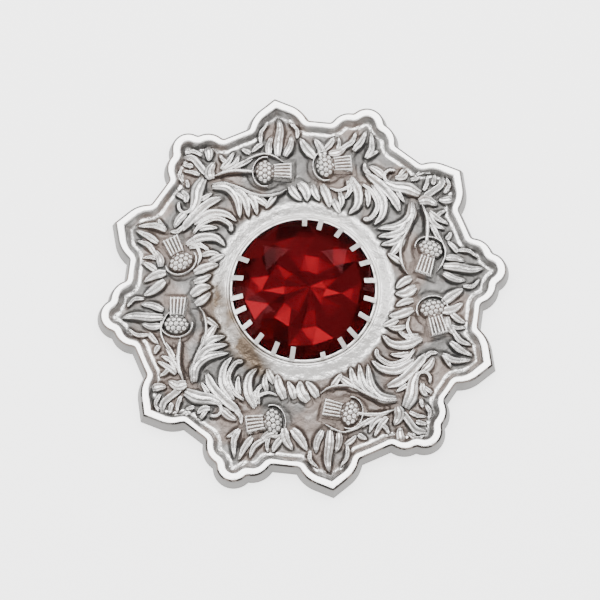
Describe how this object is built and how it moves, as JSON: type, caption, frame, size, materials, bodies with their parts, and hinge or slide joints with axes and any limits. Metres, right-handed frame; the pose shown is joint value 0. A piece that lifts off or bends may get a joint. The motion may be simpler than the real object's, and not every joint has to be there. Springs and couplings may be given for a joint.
{
  "type": "plaid brooch",
  "caption": "Round plaid brooch: a cast plate with a lobed rim, raised thistles and acanthus, and a large faceted red stone held by claws, pinned from behind.",
  "frame": {"origin": "bottom centre: the middle of the plate, at the height of its back edge", "axes": "+Z out of the front, along the stone's axis; +Y towards one pointed lobe, away from the wearer's feet; +X towards the wearer's left, as the brooch is seen from the front with +Y up"},
  "size_m": [0.0768, 0.0762, 0.0081],
  "materials": {
    "cast_plate": "bright plated cast metal, darkened in the recesses",
    "claw_cup": "plated sheet metal, lightly tarnished",
    "red_stone": "polished facets over a foiled back",
    "pin_steel": "plated wire"
  },
  "bodies": {
    "root": {"plate": "cast_plate", "stone_setting": "claw_cup", "stone": "red_stone", "back_pin": "pin_steel"}
  },
  "joints": []
}
